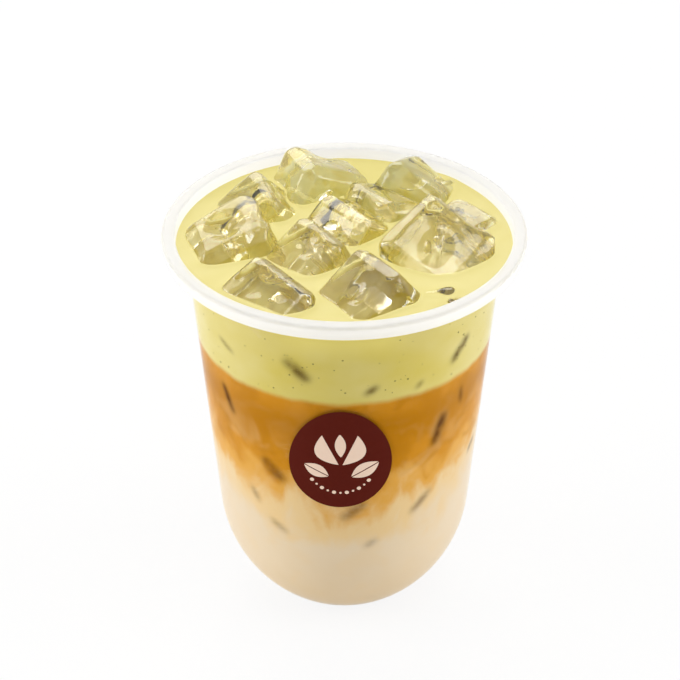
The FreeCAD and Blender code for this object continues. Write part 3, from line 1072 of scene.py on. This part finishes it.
def keep_off_wall(shape):
    """Leave a film of drink between the ice and the wall."""
    for vert in shape.verts:
        limit = inner_radius(min(vert.co.z, DRINK_LEVEL)) - FILM_AT_WALL
        reach = math.hypot(vert.co.x, vert.co.y)
        if reach > limit:
            vert.co.x *= limit / reach
            vert.co.y *= limit / reach


def ice_cutters():
    """Copies of the blocks that cut their room out of the drink."""
    cutters = bpy.data.collections.new("ice_cutters")
    for number in range(len(ICE_NAMES)):
        shape = melted_block(number, CUTTER_GRAIN, room_round_ice)
        keep_off_wall(shape)
        mesh = bpy.data.meshes.new("cutter")
        shape.to_mesh(mesh)
        shape.free()
        cutters.objects.link(bpy.data.objects.new("cutter", mesh))
    return cutters


def cut_out(piece, cutters):
    """Cut every object of a collection out of a piece and keep the result as its mesh."""
    cut = piece.modifiers.new("room_for_ice", "BOOLEAN")
    cut.operation = "DIFFERENCE"
    cut.operand_type = "COLLECTION"
    cut.collection = cutters
    cut.solver = "MANIFOLD"
    result = bpy.data.meshes.new_from_object(piece.evaluated_get(bpy.context.evaluated_depsgraph_get()))
    piece.modifiers.remove(cut)
    old = piece.data
    piece.data = result
    bpy.data.meshes.remove(old)
    for cutter in list(cutters.objects):
        bpy.data.objects.remove(cutter)
    bpy.data.collections.remove(cutters)


# %% Pistachio layer
SURFACE_RINGS = 68
ON_WALL, OPEN_SURFACE, POCKET = range(3)
FACES_UP = 0.5

layer = wire_from_points(layer_line(ESPRESSO_TOP, DRINK_LEVEL, SURFACE_RINGS, EVEN))
spin_round(layer, DRINK_STEPS)
raise_meniscus(layer)
for face in layer.faces:
    if face.normal.z > FACES_UP:
        face.material_index = OPEN_SURFACE
pistachio = make_piece("pistachio_drink", layer, [LAYERED, SURFACE, UNDER_ICE],
                       ["pistachio_layer"])
cut_out(pistachio, ice_cutters())
for face in pistachio.data.polygons:
    face.use_smooth = True
    centre = face.center
    inside = math.hypot(centre.x, centre.y) < inner_radius(centre.z) - FILM_AT_WALL / 2
    if inside and face.material_index == ON_WALL and centre.z > ESPRESSO_TOP + WELD:
        face.material_index = POCKET
mark_near_ice(pistachio)
print("pistachio layer after the cut: %d faces" % len(pistachio.data.polygons))

# %% [markdown]
# ## Specks in the pistachio milk
# Tiny bubbles and bits of ground pistachio lie against the wall. Dots in the material would smear
# into the noise, so they are small flattened balls, half sunk in the drink's surface, all one mesh.


# %% Specks
SPECK_COUNT = 140
# Radius in millimetres, then height and thickness as shares of it.
SPECK_SIZE = (0.1, 0.29)
SPECK_HEIGHT = (0.7, 1.2)
SPECK_THICKNESS = 0.5
# The specks keep this far below the surface, and off the espresso by the first of these shares.
SPECK_LIMIT = 6 * MM
SPECK_SHARE = (0.08, 1.0)
SPECK_DICE = 5
SPECK_DARK = colour(128, 118, 52)
SPECK_PALE = colour(176, 162, 88)


def speck_material():
    """Olive specks, each a little different."""
    material, tree, output = start_material("pistachio_specks")
    tone = sum_up(tree, clouds(tree, place_in_mm(tree), across=4.0, up=4.0), 0.5)
    base = blend_colours(tree, tone, SPECK_DARK, SPECK_PALE)
    speck = add(tree, "BsdfPrincipled", Base_Color=base, Roughness=0.5, IOR=1.33)
    tree.links.new(speck.outputs[0], output.inputs[0])
    return material


def strew_specks(count):
    """Flattened balls against the wall, all round, from the espresso to a little under the
    surface."""
    dice = random.Random(SPECK_DICE)
    specks = bmesh.new()
    for _ in range(count):
        size = dice.uniform(*SPECK_SIZE) * MM
        angle = dice.uniform(0.0, 360.0)
        height = ESPRESSO_TOP + (DRINK_LEVEL - SPECK_LIMIT - ESPRESSO_TOP) * dice.uniform(*SPECK_SHARE)
        ball = bmesh.ops.create_icosphere(specks, subdivisions=2, radius=size)["verts"]
        bmesh.ops.scale(specks, verts=ball, vec=(1.0, SPECK_THICKNESS, dice.uniform(*SPECK_HEIGHT)))
        bmesh.ops.rotate(specks, verts=ball, matrix=Matrix.Rotation(math.radians(angle), 3, "Z"))
        bmesh.ops.translate(specks, verts=ball, vec=around(angle, inner_radius(height) + BITE, height))
    return specks


make_piece("pistachio_specks", strew_specks(SPECK_COUNT), [speck_material()])

# %% [markdown]
# ## The paper label
# The label is a maroon paper oval. Its print is a design of its own: a split pistachio nut with
# two leaves and a row of dots below. A picture could be laid over the paper, but a print made of
# thin flat shapes has clean edges at any size, so each part is such a shape, bent round the cup
# with the paper under it.


# %% Label paper
PAPER_GLOSS = 0.08
WORN = 0.2


def printed_paper(name, main, shade, rough):
    """Paper or ink of two near tones, a little worn."""
    material, tree, output = start_material(name)
    place = place_in_mm(tree)
    fibres = sum_up(tree, clouds(tree, place, across=0.9, up=0.9, detail=4.0), 0.5)
    base = blend_colours(tree, fibres, main, shade)
    worn = uneven(tree, place, across=2.0, up=2.0, spread=WORN, middle=rough)
    paper = add(tree, "BsdfPrincipled", Base_Color=base, Roughness=worn, IOR=1.46)
    paper.inputs["Specular IOR Level"].default_value = PAPER_GLOSS
    tree.links.new(paper.outputs[0], output.inputs[0])
    return material


MAROON = printed_paper("maroon_paper", colour(88, 20, 6), colour(94, 23, 8), rough=0.55)
CREAM = printed_paper("cream_print", colour(252, 222, 198), colour(255, 228, 206), rough=0.6)
NODES["label"].data.materials.clear()
NODES["label"].data.materials.append(MAROON)
label_low, label_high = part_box("label")
LABEL_MIDDLE = Vector(((label_low.x + label_high.x) / 2, (label_low.z + label_high.z) / 2))
print("label's middle: %.1f mm aside, %.1f mm up" % tuple(LABEL_MIDDLE / MM))

# %% Shapes of the print
# How much and how sharply an almond narrows towards its ends, how full it is in the middle, and how
# far a half stops short of the middle line, as a share of the width.
NARROWING = 0.55
SHARPNESS = 2.2
FULLNESS = 1.25
SPLIT = 0.045
# Each almond: its middle, length, width and tilt in degrees, then its side. Side 1 or -1 keeps only
# the right or left half, and 0 keeps both.
NUT = [((-2.3, 3.4), 10.5, 7.2, 24, -1), ((2.2, 3.4), 10.5, 7.2, -22, 1), ((0.0, 4.8), 7.4, 2.3, 2, 0)]
LEAVES = [((6.4, -3.4), 8.2, 3.6, -58), ((-6.2, -3.8), 7.0, 3.2, 62)]
DOTS = 11
DOT_SIZES = (0.55, 0.32)
DOT_FIRST = -50
DOT_STEP = 10
DOT_ROW = (9.6, 11.0)


def almond(shape, centre, length, width, tilt, side):
    """A flat almond, or one half of it, in the plane of the print."""
    made = bmesh.ops.create_circle(shape, cap_ends=True, segments=48, radius=0.5)
    verts = made["verts"]
    for vert in verts:
        narrow = 1.0 - NARROWING * abs(2 * vert.co.y) ** SHARPNESS
        vert.co.x *= narrow * FULLNESS
    if side:
        for vert in verts:
            vert.co.x = side * max(side * vert.co.x, SPLIT)
    bmesh.ops.scale(shape, verts=verts, vec=(width, length, 1.0))
    bmesh.ops.rotate(shape, verts=verts, matrix=Matrix.Rotation(math.radians(tilt), 3, "Z"))
    bmesh.ops.translate(shape, verts=verts, vec=(*centre, 0.0))


def print_shapes():
    """The whole print, flat, in millimetres from the middle of the label."""
    shape = bmesh.new()
    for nut_part in NUT:
        almond(shape, *nut_part)
    for side in (-1, 1):
        for leaf in LEAVES:
            almond(shape, *leaf, side)
    for k in range(DOTS):
        swing = math.radians(DOT_FIRST + DOT_STEP * k)
        dot = bmesh.ops.create_circle(shape, cap_ends=True, segments=20, radius=DOT_SIZES[k % 2])
        place = (DOT_ROW[0] * math.sin(swing), -DOT_ROW[1] * math.cos(swing), 0.0)
        bmesh.ops.translate(shape, verts=dot["verts"], vec=place)
    return shape


# %% Print on the cup
PRINT_THICKNESS = 0.05 * MM
PAPER_THICKNESS = 0.15 * MM


def bend_round_cup(shape, lift):
    """Wrap a flat print round the outside of the cup, at the label."""
    for vert in shape.verts:
        height = LABEL_MIDDLE.y + vert.co.y * MM
        radius = outer_radius(height) + lift + vert.co.z
        sideways = LABEL_MIDDLE.x + vert.co.x * MM
        vert.co = around(math.degrees(math.asin(sideways / radius)), radius, height)


artwork = print_shapes()
bmesh.ops.triangulate(artwork, faces=artwork.faces)
bmesh.ops.subdivide_edges(artwork, edges=artwork.edges, cuts=2, use_grid_fill=True)
raised = bmesh.ops.extrude_face_region(artwork, geom=artwork.faces[:])
lifted = [part for part in raised["geom"] if isinstance(part, bmesh.types.BMVert)]
bmesh.ops.translate(artwork, verts=lifted, vec=(0, 0, PRINT_THICKNESS))
bend_round_cup(artwork, PAPER_THICKNESS)
bmesh.ops.recalc_face_normals(artwork, faces=artwork.faces)
make_piece("label_print", artwork, [CREAM])

# %% [markdown]
# ## Floor, light and camera
# A drink could be lit by one lamp, but then one side of the cup goes dark and the ice shows a
# single hard glint. So it stands between two large soft lamps, one on each side, which make its
# sides glow and keep its front calm, with a weaker one above and a broad one behind for the ice.
# The world adds plain light from all round. The floor and the world are white to the camera, in
# reflections and through the clear pieces, and the floor still takes the cup's shadow.


# %% Floor
FLOOR_GREY = colour(238, 238, 238)
FLOOR_PALE = colour(242, 242, 242)
FLOOR_GLOW = 0.88
FLOOR_REACH = 6.0
WHITE = (1, 1, 1, 1)


def studio_floor():
    """A matt pale floor that looks white and takes a soft shadow."""
    material, tree, output = start_material("studio_floor")
    tone = sum_up(tree, clouds(tree, place_in_mm(tree), across=300.0, up=300.0), 0.5)
    matt = add(tree, "BsdfDiffuse", Color=blend_colours(tree, tone, FLOOR_GREY, FLOOR_PALE)).outputs[0]
    glow = add(tree, "Emission", Color=WHITE, Strength=1.0).outputs[0]
    mixed = blend_shaders(tree, times(tree, seen_plainly(tree), FLOOR_GLOW), matt, glow)
    tree.links.new(mixed, output.inputs[0])
    return material


ground = bmesh.new()
bmesh.ops.create_grid(ground, x_segments=2, y_segments=2, size=FLOOR_REACH)
ground_mesh = bpy.data.meshes.new("floor")
ground.to_mesh(ground_mesh)
ground.free()
ground_mesh.materials.append(studio_floor())
floor = bpy.data.objects.new("floor", ground_mesh)
bpy.context.scene.collection.objects.link(floor)
print("floor %.0f m across" % (2 * FLOOR_REACH))

# %% Lamps
LAMPS_AIM = Vector((0, 0, 0.06))
# Each lamp: its name, its place in metres, its width and height, and its power in watts.
SOFTBOXES = [
    ("left_softbox", (-0.9, -0.08, 0.4), 0.6, 0.6, 4.6),
    ("right_softbox", (0.9, -0.08, 0.4), 0.6, 0.6, 4.1),
    ("top_softbox", (0.1, -0.25, 1.0), 0.45, 0.45, 1.9),
    ("back_softbox", (-0.15, 0.8, 0.7), 0.9, 0.6, 4.8),
]


def soft_lamp(name, place, width, height, power):
    """A large soft rectangle of light that faces the middle of the drink."""
    data = bpy.data.lights.new(name, "AREA")
    data.shape = "RECTANGLE"
    data.size = width
    data.size_y = height
    data.energy = power
    lamp = bpy.data.objects.new(name, data)
    lamp.location = place
    lamp.rotation_euler = (LAMPS_AIM - Vector(place)).to_track_quat("-Z", "Y").to_euler()
    bpy.context.scene.collection.objects.link(lamp)


for softbox in SOFTBOXES:
    soft_lamp(*softbox)
    print("%-14s %.1f W" % (softbox[0], softbox[-1]))

# %% World
WORLD_LIGHT = 0.42

world = bpy.data.worlds.new("studio")
bpy.context.scene.world = world
world.use_nodes = True
world_tree = world.node_tree
world_tree.nodes.clear()
strength = ease(world_tree, seen_plainly(world_tree), 0.0, 1.0, WORLD_LIGHT, 1.0)
sky = add(world_tree, "Background", Color=WHITE, Strength=strength)
world_output = world_tree.nodes.new("ShaderNodeOutputWorld")
world_tree.links.new(sky.outputs[0], world_output.inputs[0])
print("world light", WORLD_LIGHT)

# %% Camera
CAMERA_PLACE = Vector((0.0, -0.6735, 0.5084))
CAMERA_AIM = Vector((0.0, 0.0, 0.07667))
FOCAL_LENGTH = 159.6
SIDEWAYS_SHIFT = -0.0063

lens = bpy.data.cameras.new("camera")
lens.lens = FOCAL_LENGTH
lens.shift_x = SIDEWAYS_SHIFT
camera = bpy.data.objects.new("camera", lens)
camera.location = CAMERA_PLACE
camera.rotation_euler = (CAMERA_AIM - CAMERA_PLACE).to_track_quat("-Z", "Y").to_euler()
bpy.context.scene.collection.objects.link(camera)
bpy.context.scene.camera = camera
bpy.context.scene.view_settings.view_transform = "Standard"
print("camera %.2f m from its aim" % (CAMERA_AIM - CAMERA_PLACE).length)
